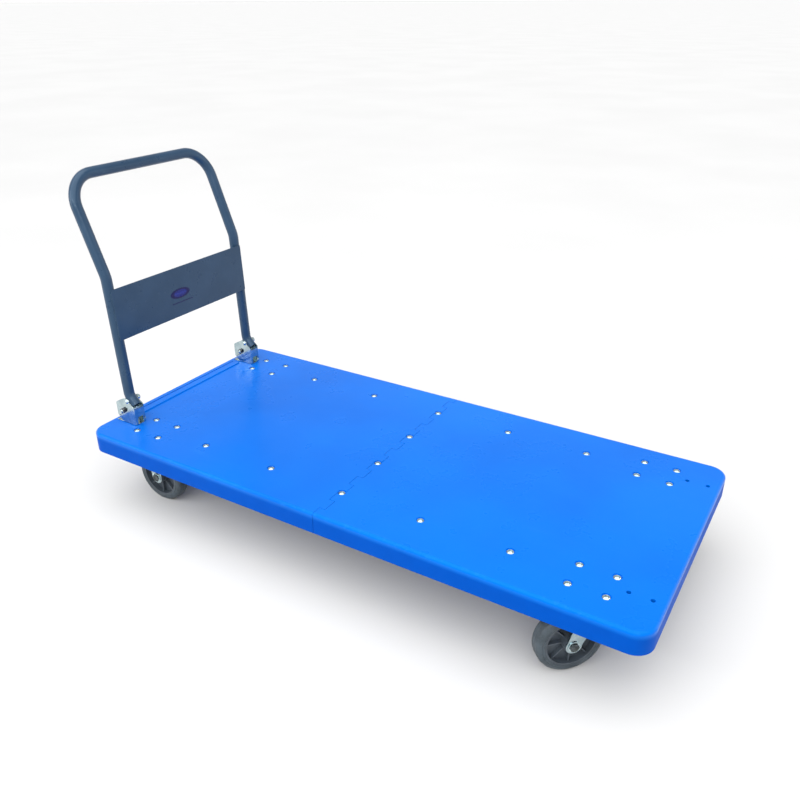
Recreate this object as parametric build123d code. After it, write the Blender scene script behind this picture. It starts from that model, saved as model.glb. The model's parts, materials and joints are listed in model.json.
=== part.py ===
"""Folding platform cart: plastic two-piece deck, folding tube handle, two fixed and two swivel casters.

Everything is built in deck coordinates: X along the deck with the handle at -X, Y across it, Z up,
zero at the floor under the deck's centre. save() shifts each piece so that the overall box is centred.
"""
from build123d import *
from math import cos, hypot, radians, sin, tan
import os

# ---------------------------------------------------------------- deck
DECK_LENGTH = 1500.0
DECK_WIDTH = 672.0
DECK_DEPTH = 54.0              # height of the skirt
SKIN = 5.0
SKIRT_WALL = 4.5
CORNER_RADIUS = 42.0
EDGE_RADIUS = 8.0
RIB_THICKNESS = 3.0
RIB_DEPTH = 36.0
RIB_PITCH = 90.0
STRIP_WIDTH = 48.0             # raised strip beside each end edge
STRIP_HEIGHT = 3.0
STRIP_SETBACK = 9.0
STRIP_ROUND = 2.4
STRIP_GROOVE_X = 25.0          # groove along the strip, in from the deck end
STRIP_GROOVE_WIDTH = 4.0
STRIP_GROOVE_DEPTH = 1.8
SEAM_GAP = 0.8
TAB_REACH = 7.8                # seam teeth reach this far past the middle
TAB_DEPTH = 16.0
TAB_ROUND = 2.0
SEAM_POCKET = 32.0             # half length of the thick zone beside the seam
BOSS_RADIUS = 10.0

# ---------------------------------------------------------------- steel frame under the deck
RAIL_INSET = 104.0             # deck side to rail centre
RAIL_WIDTH = 100.0
RAIL_HEIGHT = 25.0
RAIL_WALL = 2.5
RAIL_END_GAP = 15.0
RAIL_SLOT_CLEARANCE = 1.0
CROSS_WIDTH = 60.0
CROSS_HEIGHT = 22.0
CROSS_WALL = 3.0

# ---------------------------------------------------------------- fasteners
HEX_CORNER = 1.16              # corner radius of a chamfered nut, in half widths
HEX_CHAMFER = 0.16             # height of its chamfer, as a share of the nut
BOLT_RADIUS = 4.0
BOLT_HOLE_RADIUS = 4.5
HEAD_RADIUS = 8.5
HEAD_HEIGHT = 3.4
HEAD_RECESS_RADIUS = 10.2
HEAD_RECESS_DEPTH = 2.0
CROSS_SLOT_WIDTH = 1.6
CROSS_SLOT_LENGTH = 8.0
CROSS_SLOT_DEPTH = 1.8
NUT_WIDTH = 13.0               # across the flats
NUT_HEIGHT = 6.5
THREAD_OVERRUN = 2.5
THREAD_CLEARANCE = 0.05
MID_BOLT_NEAR = 211.0          # rail bolts, from the middle of the deck
MID_BOLT_FAR = 426.5

# ---------------------------------------------------------------- casters
WHEEL_RADIUS = 75.0
TREAD_WIDTH = 38.0
TREAD_DEPTH = 17.0
TREAD_SHOULDER = 11.0
TREAD_OVERLAP = 1.0            # tread beyond the rim on each side
RIM_WALL = 4.5
WEB_WALL = 5.0
HUB_RADIUS = 19.0
HUB_WIDTH = 48.0
SPOKES = 8
SPOKE_WALL = 3.0
SPOKE_WIDTH = 24.0
BUSH_RADIUS = 11.0
AXLE_RADIUS = 6.0
RUNNING_CLEARANCE = 0.06
AXLE_HEAD_HEIGHT = 5.0
AXLE_NUT_WIDTH = 19.0
AXLE_NUT_HEIGHT = 10.0
HUB_SIDE_CLEARANCE = 0.5
CASTER_X = 603.0               # from the middle of the deck
CASTER_BOLT_X = 78.0
CASTER_BOLT_Y = 68.0
CASTER_HEADROOM = 31.0         # wheel top to caster plate
PLATE_LENGTH = 105.0
PLATE_WIDTH = 92.0
PLATE_WALL = 4.0
PLATE_CORNER = 8.0
FORK_WALL = 3.5
FORK_FOOT_RADIUS = 17.5
FIXED_LEG_TOP = 34.0           # half width of the fixed fork's leg under its plate
FIXED_LEG_NECK = 20.0
SWIVEL_LEG_BACK = 29.0         # swivel fork's leg under the crown, from the swivel axis
SWIVEL_LEG_FRONT = 22.0
LEG_FLARE = 20.0               # height over which a leg widens into the plate
TRAIL = 39.0
SWIVEL_ANGLE_RIGHT = 45.6      # how far each swivel caster is turned from trailing straight
SWIVEL_ANGLE_LEFT = 0.0
CROWN_RADIUS = 38.0
CROWN_WALL = 4.0
BALL_RADIUS = 3.2
UPPER_BALL_CIRCLE = 27.0
UPPER_BALLS = 18
LOWER_BALL_CIRCLE = 17.0
LOWER_BALLS = 12
BALL_SEAT_CLEARANCE = 0.1
GROOVE_DEPTH = 1.6
KING_PIN_RADIUS = 6.0
KING_PIN_HEAD_RADIUS = 11.0
KING_PIN_HEAD = 3.0
KING_PIN_HOLE_CLEARANCE = 2.0
RACE_CLEARANCE = 1.0           # race to fork leg
RACE_WALL = 3.0

# ---------------------------------------------------------------- handle
TUBE_RADIUS = 14.0
TUBE_WALL = 2.0
HANDLE_OUTSET = 2.5            # handle leg beyond the rail centre
HANDLE_HEIGHT = 641.0          # top bar above the deck
BEND_HEIGHT = 403.0
KINK_HEIGHT = 78.0
KINK_X = 61.0                  # kink in from the deck end
LOWER_LEAN = 2.06
UPPER_LEAN = 20.1
FOOT_ANGLE = 42.0
TOP_BEND_RADIUS = 76.0
MID_BEND_RADIUS = 66.0
FOOT_BEND_RADIUS = 30.0
PIVOT_ALONG_FOOT = 12.0        # kink to pivot, measured along the foot
PIVOT_OFFSET = 3.0             # pivot behind the foot's centre line
FOOT_BEYOND_PIVOT = 20.0
PLATE_BOTTOM = 238.0           # cross plate, above the deck
PLATE_TOP = 374.0
CROSS_PLATE_WALL = 2.0
CROSS_PLATE_REACH = 5.5        # ends past the tubes' centres
CROSS_PLATE_CORNER = 3.0
WELD_GAP = 0.05
LABEL_LENGTH = 70.0
LABEL_HEIGHT = 27.0
LABEL_Y = -17.0                # the label sits a little off the plate's middle
LABEL_DROP = 4.0
LABEL_WALL = 0.6

# ---------------------------------------------------------------- handle brackets and locks
SHEET = 2.5
BEND_RADIUS = 2.0              # outside of the brackets' folds
EAR_CLEARANCE = 1.0            # between tube and ear
BRACKET_BOLT_NEAR = 28.0       # bracket holes, in from the deck end
BRACKET_BOLT_FAR = 75.0
SPARE_HOLE_RADIUS = 5.0
EAR_FRONT_HEIGHT = 52.0
EAR_TOP_HEIGHT = 76.0
EAR_BACK_HEIGHT = 57.0
EAR_LENGTH = 67.0
EAR_FRONT_X = 90.0             # front face of the bracket, in from the deck end
EAR_UNDERCUT = 19.0
EAR_TOP_BACK = 46.0            # from the front face back to where the top starts to fall
EAR_CORNER = 7.0
BASE_OVERHANG = 7.0
FRONT_WALL_HEIGHT = 47.0
WINDOW_WIDTH = 19.0
WINDOW_HEIGHT = 19.0
PIVOT_RADIUS = 4.0
PIVOT_EAR_MARGIN = 8.0
PIVOT_HEAD_RADIUS = 6.5
PIVOT_HEAD_HEIGHT = 3.5
PIVOT_BUSH_RADIUS = 6.5
BUSH_END_CLEARANCE = 0.4
BRACKET_BOLT_STANDOUT = 5.0
LOCK_PIN_RADIUS = 3.0
LOCK_PIN_X = 50.0              # in from the deck end
LOCK_PIN_HEIGHT = 38.0
LOCK_PIN_HEAD_RADIUS = 5.0
LOCK_PIN_HEAD_HEIGHT = 2.5
LEVER_WIDTH = 24.0
LEVER_HUB_RADIUS = 6.0
LEVER_TAIL = 21.0
LEVER_TAIL_RISE = 8.0
LEVER_TIP_RADIUS = 2.0
FOOT_SWEEP_CLEARANCE = 0.8
NOSE_ANGLE = 8.6               # nose tip behind straight down from the pivot
SPRING_WIRE = 0.8
SPRING_RADIUS = 6.0
SPRING_TURNS = 3
SPRING_PITCH = 2.0
SPRING_FRONT_LEG = 24.0
SPRING_FRONT_LEG_ANGLE = 35.0
SPRING_BACK_LEG = 20.0
SPRING_STANDOFF = 0.3

# ---------------------------------------------------------------- places worked out from the sizes
DECK_HEIGHT = 2 * WHEEL_RADIUS + CASTER_HEADROOM + PLATE_WALL + RAIL_HEIGHT + SKIN
SKIRT_BOTTOM = DECK_HEIGHT - DECK_DEPTH
SKIN_UNDER = DECK_HEIGHT - SKIN
RAIL_Y = DECK_WIDTH / 2 - RAIL_INSET
TAB_PITCH = RAIL_Y / 6
RAIL_BOTTOM = SKIN_UNDER - RAIL_HEIGHT
RAIL_WEB_TOP = RAIL_BOTTOM + RAIL_WALL
HEAD_SEAT = DECK_HEIGHT - HEAD_RECESS_DEPTH
CROSS_TOP = DECK_HEIGHT - TAB_DEPTH
PLATE_UNDER = RAIL_BOTTOM - PLATE_WALL
NUT_LENGTH = NUT_HEIGHT + THREAD_OVERRUN
RAIL_END = DECK_LENGTH / 2 - RAIL_END_GAP
RIM_RADIUS = WHEEL_RADIUS - TREAD_DEPTH
FORK_GAP = HUB_WIDTH / 2 + HUB_SIDE_CLEARANCE
FORK_OUTER = FORK_GAP + FORK_WALL
RACE_RADIUS = FORK_GAP - RACE_CLEARANCE
CROWN_TOP = PLATE_UNDER - 2 * BALL_RADIUS + 2 * GROOVE_DEPTH - BALL_SEAT_CLEARANCE
CROWN_UNDER = CROWN_TOP - CROWN_WALL
RACE_TOP = CROWN_UNDER - 2 * BALL_RADIUS + 2 * GROOVE_DEPTH - BALL_SEAT_CLEARANCE
RACE_UNDER = RACE_TOP - RACE_WALL

HANDLE_Y = RAIL_Y + HANDLE_OUTSET
FOOT_DIR = (sin(radians(FOOT_ANGLE)), -cos(radians(FOOT_ANGLE)))
KINK = (-DECK_LENGTH / 2 + KINK_X, DECK_HEIGHT + KINK_HEIGHT)
BEND_RISE = BEND_HEIGHT - KINK_HEIGHT
BEND = (KINK[0] - BEND_RISE * tan(radians(LOWER_LEAN)), DECK_HEIGHT + BEND_HEIGHT)
TOP_RISE = HANDLE_HEIGHT - BEND_HEIGHT
TOP = (BEND[0] - TOP_RISE * tan(radians(UPPER_LEAN)), DECK_HEIGHT + HANDLE_HEIGHT)
PIVOT = (
    KINK[0] + PIVOT_ALONG_FOOT * FOOT_DIR[0] + PIVOT_OFFSET * FOOT_DIR[1],
    KINK[1] + PIVOT_ALONG_FOOT * FOOT_DIR[1] - PIVOT_OFFSET * FOOT_DIR[0],
)
FOOT_LENGTH = PIVOT_ALONG_FOOT + FOOT_BEYOND_PIVOT
FOOT_SWEEP = hypot(FOOT_BEYOND_PIVOT, TUBE_RADIUS + PIVOT_OFFSET)
EAR_INNER = TUBE_RADIUS + EAR_CLEARANCE
EAR_OUTER = EAR_INNER + SHEET
BRACKET_FRONT = -DECK_LENGTH / 2 + EAR_FRONT_X
LOCK_PIN = (-DECK_LENGTH / 2 + LOCK_PIN_X, DECK_HEIGHT + LOCK_PIN_HEIGHT)
FRAME_SHIFT = -(TOP[0] - TUBE_RADIUS + DECK_LENGTH / 2) / 2

LOW = (Align.CENTER, Align.CENTER, Align.MIN)
SIDES = {"right": -1, "left": 1}
OVERLAP = 1.0                  # how far joined shapes run into each other, and cuts run past a face


# ---------------------------------------------------------------- helpers
def save(name, *solids):
    """Write one node, shifted so that the cart's overall box is centred on X = 0."""
    placed = [Pos(FRAME_SHIFT, 0, 0) * solid for solid in solids]
    shape = placed[0] if len(placed) == 1 else Compound(children=placed)
    export_step(shape, f"parts/{name}.step")


def block(x, y, z):
    """A box between two values along each axis."""
    box = Box(x[1] - x[0], y[1] - y[0], z[1] - z[0], align=(Align.MIN, Align.MIN, Align.MIN))
    return Pos(x[0], y[0], z[0]) * box


def rod_z(radius, x, y, z):
    return Pos(x, y, z[0]) * Cylinder(radius, z[1] - z[0], align=LOW)


def rod_y(radius, x, y, z):
    return Pos(x, y[0], z) * Rot(-90, 0, 0) * Cylinder(radius, y[1] - y[0], align=LOW)


def side_prism(face, y):
    """Extrude a face drawn in X and Z between two values of Y."""
    return Pos(0, y[0], 0) * extrude(Plane.XZ * face, amount=y[1] - y[0], dir=(0, 1, 0))


def ring_face(inner, outer, low, high):
    """A rectangle in the XZ plane, ready to revolve about Z."""
    return Plane.XZ * Pos((inner + outer) / 2, (low + high) / 2) * Rectangle(outer - inner, high - low)


def single(shape):
    """The one solid of a result."""
    return shape.solids()[0]


def hex_nut(width, height, bore):
    """A nut standing on the XY plane, with chamfered corners."""
    radius = width / 2
    prism = extrude(RegularPolygon(radius, 6, major_radius=False), amount=height)
    corner, chamfer = radius * HEX_CORNER, height * HEX_CHAMFER
    crown = Plane.XZ * Polygon(
        (0, 0), (radius, 0), (corner, chamfer), (corner, height - chamfer), (radius, height), (0, height),
        align=None,
    )
    nut = prism & revolve(crown, Axis.Z)
    return single(nut - Pos(0, 0, -OVERLAP) * Cylinder(bore, height + 2 * OVERLAP, align=LOW))


def dome(radius, height):
    """A low round head standing on the XY plane."""
    ball = (radius ** 2 + height ** 2) / (2 * height)
    head = Pos(0, 0, height - ball) * Sphere(ball)
    return head & Cylinder(radius, height, align=LOW)


def head_bolt(length):
    """Domed cross-recess bolt: head above the XY plane, shank below it."""
    slot = (CROSS_SLOT_LENGTH, CROSS_SLOT_WIDTH)
    recess = Pos(0, 0, HEAD_HEIGHT - CROSS_SLOT_DEPTH) * (
        Box(slot[0], slot[1], HEAD_HEIGHT, align=LOW) + Box(slot[1], slot[0], HEAD_HEIGHT, align=LOW)
    )
    shank = Pos(0, 0, -length) * Cylinder(BOLT_RADIUS, length + OVERLAP, align=LOW)
    return single(dome(HEAD_RADIUS, HEAD_HEIGHT) + shank - recess)


# ---------------------------------------------------------------- bolt places
def caster_bolt_spots(x):
    return [
        (x + i * CASTER_BOLT_X / 2, side * RAIL_Y + j * CASTER_BOLT_Y / 2)
        for side in (-1, 1) for i in (-1, 1) for j in (-1, 1)
    ]


def rail_bolt_spots():
    distances = (-MID_BOLT_FAR, -MID_BOLT_NEAR, MID_BOLT_NEAR, MID_BOLT_FAR)
    return [(x, side * RAIL_Y) for side in (-1, 1) for x in distances]


def joint_bolt_spots(y):
    return [(0, -y), (0, y)]


def bracket_bolt_spots(end):
    inset = (BRACKET_BOLT_NEAR, BRACKET_BOLT_FAR)
    return [(end * (DECK_LENGTH / 2 - d), side * RAIL_Y) for side in (-1, 1) for d in inset]


# ---------------------------------------------------------------- deck
def seam_region():
    """Everything on the handle's side of the toothed seam, short of it by half the gap."""
    gap = SEAM_GAP / 2
    reach = {0: TAB_REACH - gap, 1: -TAB_REACH - gap}
    lines = int((DECK_WIDTH / 2 - TAB_PITCH / 2) // TAB_PITCH)
    points = [(-DECK_LENGTH, -DECK_WIDTH), (reach[(lines + 1) % 2], -DECK_WIDTH)]
    for line in range(-lines, lines + 1):
        y = line * TAB_PITCH + (gap if line % 2 == 0 else -gap)
        points.append((reach[(line - 1) % 2], y))
        points.append((reach[line % 2], y))
    points += [(reach[lines % 2], DECK_WIDTH), (-DECK_LENGTH, DECK_WIDTH)]
    region = Polygon(*points, align=None)
    teeth = [v for v in region.vertices() if abs(v.X) < 2 * TAB_REACH and abs(v.Y) < DECK_WIDTH / 2]
    region = fillet(teeth, TAB_ROUND)
    return extrude(region, amount=2 * DECK_HEIGHT)


def deck_shell():
    """The moulding's outer block with rounded edges, hollowed from below."""
    plan = RectangleRounded(DECK_LENGTH, DECK_WIDTH, CORNER_RADIUS)
    shell = Pos(0, 0, SKIRT_BOTTOM) * extrude(plan, amount=DECK_DEPTH)
    shell = fillet(shell.edges().group_by(Axis.Z)[-1], EDGE_RADIUS)
    inner = RectangleRounded(
        DECK_LENGTH - 2 * SKIRT_WALL, DECK_WIDTH - 2 * SKIRT_WALL, CORNER_RADIUS - SKIRT_WALL
    )
    cavity = Pos(0, 0, SKIRT_BOTTOM - OVERLAP) * extrude(inner, amount=DECK_DEPTH - SKIN + OVERLAP)
    wall = SEAM_POCKET + RIB_THICKNESS
    inside = DECK_WIDTH / 2 - SKIRT_WALL
    below = SKIRT_BOTTOM - 1
    shell -= cavity & block((-DECK_LENGTH, -wall), (-DECK_WIDTH, DECK_WIDTH), (below, DECK_HEIGHT))
    shell -= block((-SEAM_POCKET, SEAM_POCKET), (-inside, inside), (below, CROSS_TOP))
    half = RAIL_WIDTH / 2 + RAIL_SLOT_CLEARANCE
    for side in (-1, 1):
        y = side * RAIL_Y
        shell -= block((-RAIL_END, SEAM_POCKET), (y - half, y + half), (below, SKIN_UNDER))
    return shell


def rib_zones():
    """Strips of the underside, across Y, that the rails leave free for ribs."""
    edge = RAIL_WIDTH / 2 + RAIL_SLOT_CLEARANCE
    outside = DECK_WIDTH / 2 - SKIRT_WALL / 2
    return [(-outside, -RAIL_Y - edge), (-RAIL_Y + edge, RAIL_Y - edge), (RAIL_Y + edge, outside)]


def deck_ribs():
    """The grid of ribs under the skin of the half at the handle's end."""
    z = (SKIN_UNDER - RIB_DEPTH, SKIN_UNDER + OVERLAP)
    x = (-DECK_LENGTH / 2 + SKIRT_WALL / 2, -SEAM_POCKET - RIB_THICKNESS / 2)
    ribs = []
    count = int((x[1] - x[0]) // RIB_PITCH)
    for i in range(1, count + 1):
        at = x[0] + i * (x[1] - x[0]) / (count + 1)
        for zone in rib_zones():
            ribs.append(block((at - RIB_THICKNESS / 2, at + RIB_THICKNESS / 2), zone, z))
    middle = rib_zones()[1]
    rows = max(2, round((middle[1] - middle[0]) / RIB_PITCH))
    for i in range(rows + 1):
        at = middle[0] + RIB_THICKNESS / 2 + i * (middle[1] - middle[0] - RIB_THICKNESS) / rows
        ribs.append(block(x, (at - RIB_THICKNESS / 2, at + RIB_THICKNESS / 2), z))
    return ribs


def end_strip():
    """Low raised strip beside the end edge, between the brackets, with a groove along it."""
    end, top = -DECK_LENGTH / 2, DECK_HEIGHT + STRIP_HEIGHT
    reach = RAIL_Y - BOSS_RADIUS - EAR_OUTER
    strip = block((end + STRIP_SETBACK, end + STRIP_WIDTH), (-reach, reach), (DECK_HEIGHT - OVERLAP, top))
    strip = fillet(strip.edges().group_by(Axis.Z)[-1], STRIP_ROUND)
    groove = (end + STRIP_GROOVE_X - STRIP_GROOVE_WIDTH / 2, end + STRIP_GROOVE_X + STRIP_GROOVE_WIDTH / 2)
    return strip - block(groove, (-reach - OVERLAP, reach + OVERLAP), (top - STRIP_GROOVE_DEPTH, top + OVERLAP))


def deck_half(strip):
    """The moulding at the handle's end. The other half is the same without its strip, half a turn round."""
    headed = caster_bolt_spots(-CASTER_X) + [spot for spot in rail_bolt_spots() if spot[0] < 0]
    seam_outer = joint_bolt_spots(RAIL_Y)
    seam_inner = joint_bolt_spots(2 * TAB_PITCH)
    plain = bracket_bolt_spots(-1)
    half = deck_shell() + deck_ribs() + strip
    bosses = headed + seam_outer + plain
    half += [rod_z(BOSS_RADIUS, x, y, (RAIL_WEB_TOP, SKIN_UNDER + OVERLAP)) for x, y in bosses]
    through = (SKIRT_BOTTOM - OVERLAP, DECK_HEIGHT + OVERLAP)
    half -= [rod_z(BOLT_HOLE_RADIUS, x, y, through) for x, y in headed + seam_outer + seam_inner]
    half -= [rod_z(SPARE_HOLE_RADIUS, x, y, through) for x, y in plain]
    seat = (HEAD_SEAT, DECK_HEIGHT + OVERLAP)
    half -= [rod_z(HEAD_RECESS_RADIUS, x, y, seat) for x, y in headed + seam_outer + seam_inner]
    return single(half & seam_region())


def rail(side):
    """Steel channel, open side up, under one line of bolts."""
    y = side * RAIL_Y
    x = (-RAIL_END + RAIL_SLOT_CLEARANCE, RAIL_END - RAIL_SLOT_CLEARANCE)
    half = RAIL_WIDTH / 2
    channel = block(x, (y - half, y + half), (RAIL_BOTTOM, SKIN_UNDER))
    inner = half - RAIL_WALL
    channel -= block(x, (y - inner, y + inner), (RAIL_WEB_TOP, SKIN_UNDER))
    spots = caster_bolt_spots(-CASTER_X) + caster_bolt_spots(CASTER_X) + rail_bolt_spots()
    spots += joint_bolt_spots(RAIL_Y)
    z = (RAIL_BOTTOM - OVERLAP, RAIL_WEB_TOP + OVERLAP)
    channel -= [rod_z(BOLT_HOLE_RADIUS, a, b, z) for a, b in spots if b * side > 0]
    ends = bracket_bolt_spots(-1) + bracket_bolt_spots(1)
    channel -= [rod_z(SPARE_HOLE_RADIUS, a, b, z) for a, b in ends if b * side > 0]
    return single(channel)


def cross_member():
    """Steel channel, open side down, welded between the rails under the seam."""
    y = RAIL_Y - RAIL_WIDTH / 2
    half = CROSS_WIDTH / 2
    inner = half - CROSS_WALL
    beam = block((-half, half), (-y, y), (CROSS_TOP - CROSS_HEIGHT, CROSS_TOP))
    beam -= block((-inner, inner), (-y, y), (CROSS_TOP - CROSS_HEIGHT, CROSS_TOP - CROSS_WALL))
    z = (CROSS_TOP - CROSS_WALL - OVERLAP, CROSS_TOP + OVERLAP)
    beam -= [rod_z(BOLT_HOLE_RADIUS, a, b, z) for a, b in joint_bolt_spots(2 * TAB_PITCH)]
    return single(beam)


def bolts_with_nuts(spots, under):
    """Domed bolts from the deck's recesses, with nuts against the face at height under."""
    bolt = head_bolt(HEAD_SEAT - under + NUT_LENGTH)
    nut = hex_nut(NUT_WIDTH, NUT_HEIGHT, BOLT_RADIUS + THREAD_CLEARANCE)
    bolts = [Pos(x, y, HEAD_SEAT) * bolt for x, y in spots]
    nuts = [Pos(x, y, under - NUT_HEIGHT) * nut for x, y in spots]
    return bolts, nuts


# ---------------------------------------------------------------- wheels and casters
def wheel_ring(inner, outer, width):
    """A ring about the Y axis, centred on the origin."""
    return Rot(-90, 0, 0) * revolve(ring_face(inner, outer, -width / 2, width / 2), Axis.Z)


def wheel_tread():
    face = ring_face(RIM_RADIUS, WHEEL_RADIUS, -TREAD_WIDTH / 2, TREAD_WIDTH / 2)
    face = fillet(face.vertices().sort_by(Axis.X)[-2:], TREAD_SHOULDER)
    return single(Rot(-90, 0, 0) * revolve(face, Axis.Z))


def wheel_core():
    rim = wheel_ring(RIM_RADIUS - RIM_WALL, RIM_RADIUS, TREAD_WIDTH - 2 * TREAD_OVERLAP)
    web = wheel_ring(BUSH_RADIUS, RIM_RADIUS - RIM_WALL / 2, WEB_WALL)
    hub = wheel_ring(BUSH_RADIUS, HUB_RADIUS, HUB_WIDTH)
    middle = (HUB_RADIUS + RIM_RADIUS - RIM_WALL) / 2
    length = RIM_RADIUS - RIM_WALL - HUB_RADIUS + 2 * OVERLAP
    spoke = Pos(middle, 0, 0) * Box(length, SPOKE_WIDTH, SPOKE_WALL)
    spokes = [Rot(0, i * 360 / SPOKES, 0) * spoke for i in range(SPOKES)]
    return single(rim + web + hub + spokes)


def wheel_bush():
    return single(wheel_ring(AXLE_RADIUS + RUNNING_CLEARANCE, BUSH_RADIUS, HUB_WIDTH))


def axle_bolt():
    """Axle along Y through both fork legs, with its head on the -Y side."""
    end = FORK_OUTER + AXLE_NUT_HEIGHT + THREAD_OVERRUN
    shank = rod_y(AXLE_RADIUS, 0, (-FORK_OUTER - OVERLAP, end), 0)
    head = Pos(0, -FORK_OUTER, 0) * Rot(90, 0, 0) * extrude(
        RegularPolygon(AXLE_NUT_WIDTH / 2, 6, major_radius=False), amount=AXLE_HEAD_HEIGHT
    )
    return single(shank + head)


def axle_nut():
    nut = hex_nut(AXLE_NUT_WIDTH, AXLE_NUT_HEIGHT, AXLE_RADIUS + THREAD_CLEARANCE)
    return Pos(0, FORK_OUTER, 0) * Rot(-90, 0, 0) * nut


def bolt_plate():
    """Caster plate centred on the origin in plan, under the rail."""
    plate = Pos(0, 0, PLATE_UNDER) * extrude(
        RectangleRounded(PLATE_LENGTH, PLATE_WIDTH, PLATE_CORNER), amount=PLATE_WALL
    )
    z = (PLATE_UNDER - OVERLAP, RAIL_BOTTOM + OVERLAP)
    corners = [(i * CASTER_BOLT_X / 2, j * CASTER_BOLT_Y / 2) for i in (-1, 1) for j in (-1, 1)]
    return plate - [rod_z(BOLT_HOLE_RADIUS, x, y, z) for x, y in corners]


def fork_legs(outline, axle_x):
    """Two legs from a side outline, with a round foot and the axle's hole."""
    foot = Pos(axle_x, WHEEL_RADIUS) * Circle(FORK_FOOT_RADIUS)
    face = Polygon(*outline, align=None) + foot
    legs = [side_prism(face, (FORK_GAP, FORK_OUTER)), side_prism(face, (-FORK_OUTER, -FORK_GAP))]
    hole = rod_y(AXLE_RADIUS + THREAD_CLEARANCE, axle_x, (-2 * FORK_OUTER, 2 * FORK_OUTER), WHEEL_RADIUS)
    return [leg - hole for leg in legs]


def fixed_fork():
    outline = [
        (-FIXED_LEG_TOP, PLATE_UNDER + OVERLAP), (FIXED_LEG_TOP, PLATE_UNDER + OVERLAP),
        (FIXED_LEG_NECK, PLATE_UNDER - LEG_FLARE), (FORK_FOOT_RADIUS, WHEEL_RADIUS),
        (-FORK_FOOT_RADIUS, WHEEL_RADIUS), (-FIXED_LEG_NECK, PLATE_UNDER - LEG_FLARE),
    ]
    return single(bolt_plate() + fork_legs(outline, 0))


def ball_groove(circle, z):
    """A round groove about Z for one row of balls."""
    return Pos(0, 0, z) * Torus(circle, BALL_RADIUS + BALL_SEAT_CLEARANCE / 2)


def swivel_fork():
    """Crown with two legs, trailing towards -X, about a swivel axis on Z."""
    crown = rod_z(CROWN_RADIUS, 0, 0, (CROWN_UNDER, CROWN_TOP))
    top, flare = CROWN_UNDER + OVERLAP, CROWN_UNDER - LEG_FLARE / 2
    outline = [
        (-SWIVEL_LEG_BACK, top), (SWIVEL_LEG_FRONT, top), (SWIVEL_LEG_FRONT, flare),
        (-TRAIL + FORK_FOOT_RADIUS, WHEEL_RADIUS), (-TRAIL - FORK_FOOT_RADIUS, WHEEL_RADIUS),
        (-SWIVEL_LEG_BACK, flare),
    ]
    fork = crown + fork_legs(outline, -TRAIL)
    bore = KING_PIN_RADIUS + KING_PIN_HOLE_CLEARANCE
    fork -= rod_z(bore, 0, 0, (CROWN_UNDER - OVERLAP, CROWN_TOP + OVERLAP))
    fork -= ball_groove(UPPER_BALL_CIRCLE, upper_ball_height())
    fork -= ball_groove(LOWER_BALL_CIRCLE, lower_ball_height())
    return single(fork)


def upper_ball_height():
    return (PLATE_UNDER + CROWN_TOP) / 2


def lower_ball_height():
    return (CROWN_UNDER + RACE_TOP) / 2


def ball_row(count, circle, z):
    ball = Pos(circle, 0, z) * Sphere(BALL_RADIUS)
    return [Rot(0, 0, i * 360 / count) * ball for i in range(count)]


def swivel_plate():
    plate = bolt_plate() - ball_groove(UPPER_BALL_CIRCLE, upper_ball_height())
    hole = rod_z(KING_PIN_RADIUS + THREAD_CLEARANCE, 0, 0, (PLATE_UNDER - OVERLAP, RAIL_BOTTOM + OVERLAP))
    return single(plate - hole)


def lower_race():
    race = rod_z(RACE_RADIUS, 0, 0, (RACE_UNDER, RACE_TOP))
    race -= rod_z(KING_PIN_RADIUS + THREAD_CLEARANCE, 0, 0, (RACE_UNDER - OVERLAP, RACE_TOP + OVERLAP))
    return single(race - ball_groove(LOWER_BALL_CIRCLE, lower_ball_height()))


def king_pin():
    pin = rod_z(KING_PIN_RADIUS, 0, 0, (RACE_UNDER - OVERLAP, RAIL_BOTTOM))
    head = Pos(0, 0, RACE_UNDER) * Rot(180, 0, 0) * dome(KING_PIN_HEAD_RADIUS, KING_PIN_HEAD)
    return single(pin + head)


# ---------------------------------------------------------------- handle
def handle_wire():
    """Centre line of the tube from one foot end to the other."""
    foot = (KINK[0] + FOOT_LENGTH * FOOT_DIR[0], KINK[1] + FOOT_LENGTH * FOOT_DIR[1])
    profile = [foot, KINK, BEND, TOP]
    right = [(x, -HANDLE_Y, z) for x, z in profile]
    left = [(x, HANDLE_Y, z) for x, z in reversed(profile)]
    radii = [FOOT_BEND_RADIUS, MID_BEND_RADIUS, TOP_BEND_RADIUS]
    return FilletPolyline(*right, *left, radius=radii + radii[::-1])


def handle_tube():
    path = handle_wire()
    start = Plane(origin=path @ 0, z_dir=path % 0)
    tube = sweep(start * Circle(TUBE_RADIUS), path=path) - sweep(
        start * Circle(TUBE_RADIUS - TUBE_WALL), path=path
    )
    reach = HANDLE_Y + 2 * TUBE_RADIUS
    tube -= rod_y(PIVOT_BUSH_RADIUS + WELD_GAP, PIVOT[0], (-reach, reach), PIVOT[1])
    return single(tube)


def pivot_bush(side):
    """Sleeve welded across the handle's foot, which turns on the pivot bolt."""
    half = EAR_INNER - BUSH_END_CLEARANCE
    y = (side * HANDLE_Y - half, side * HANDLE_Y + half)
    sleeve = rod_y(PIVOT_BUSH_RADIUS, PIVOT[0], y, PIVOT[1])
    bore = (y[0] - OVERLAP, y[1] + OVERLAP)
    return single(sleeve - rod_y(PIVOT_RADIUS + RUNNING_CLEARANCE, PIVOT[0], bore, PIVOT[1]))


def leg_plane():
    """Plane across the handle's lower legs: X forward, Y across, Z up along the legs, from the kink."""
    lean = radians(LOWER_LEAN)
    across, along = (cos(lean), 0, sin(lean)), (-sin(lean), 0, cos(lean))
    return Plane(origin=(KINK[0], 0, KINK[1]), x_dir=across, z_dir=along)


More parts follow.
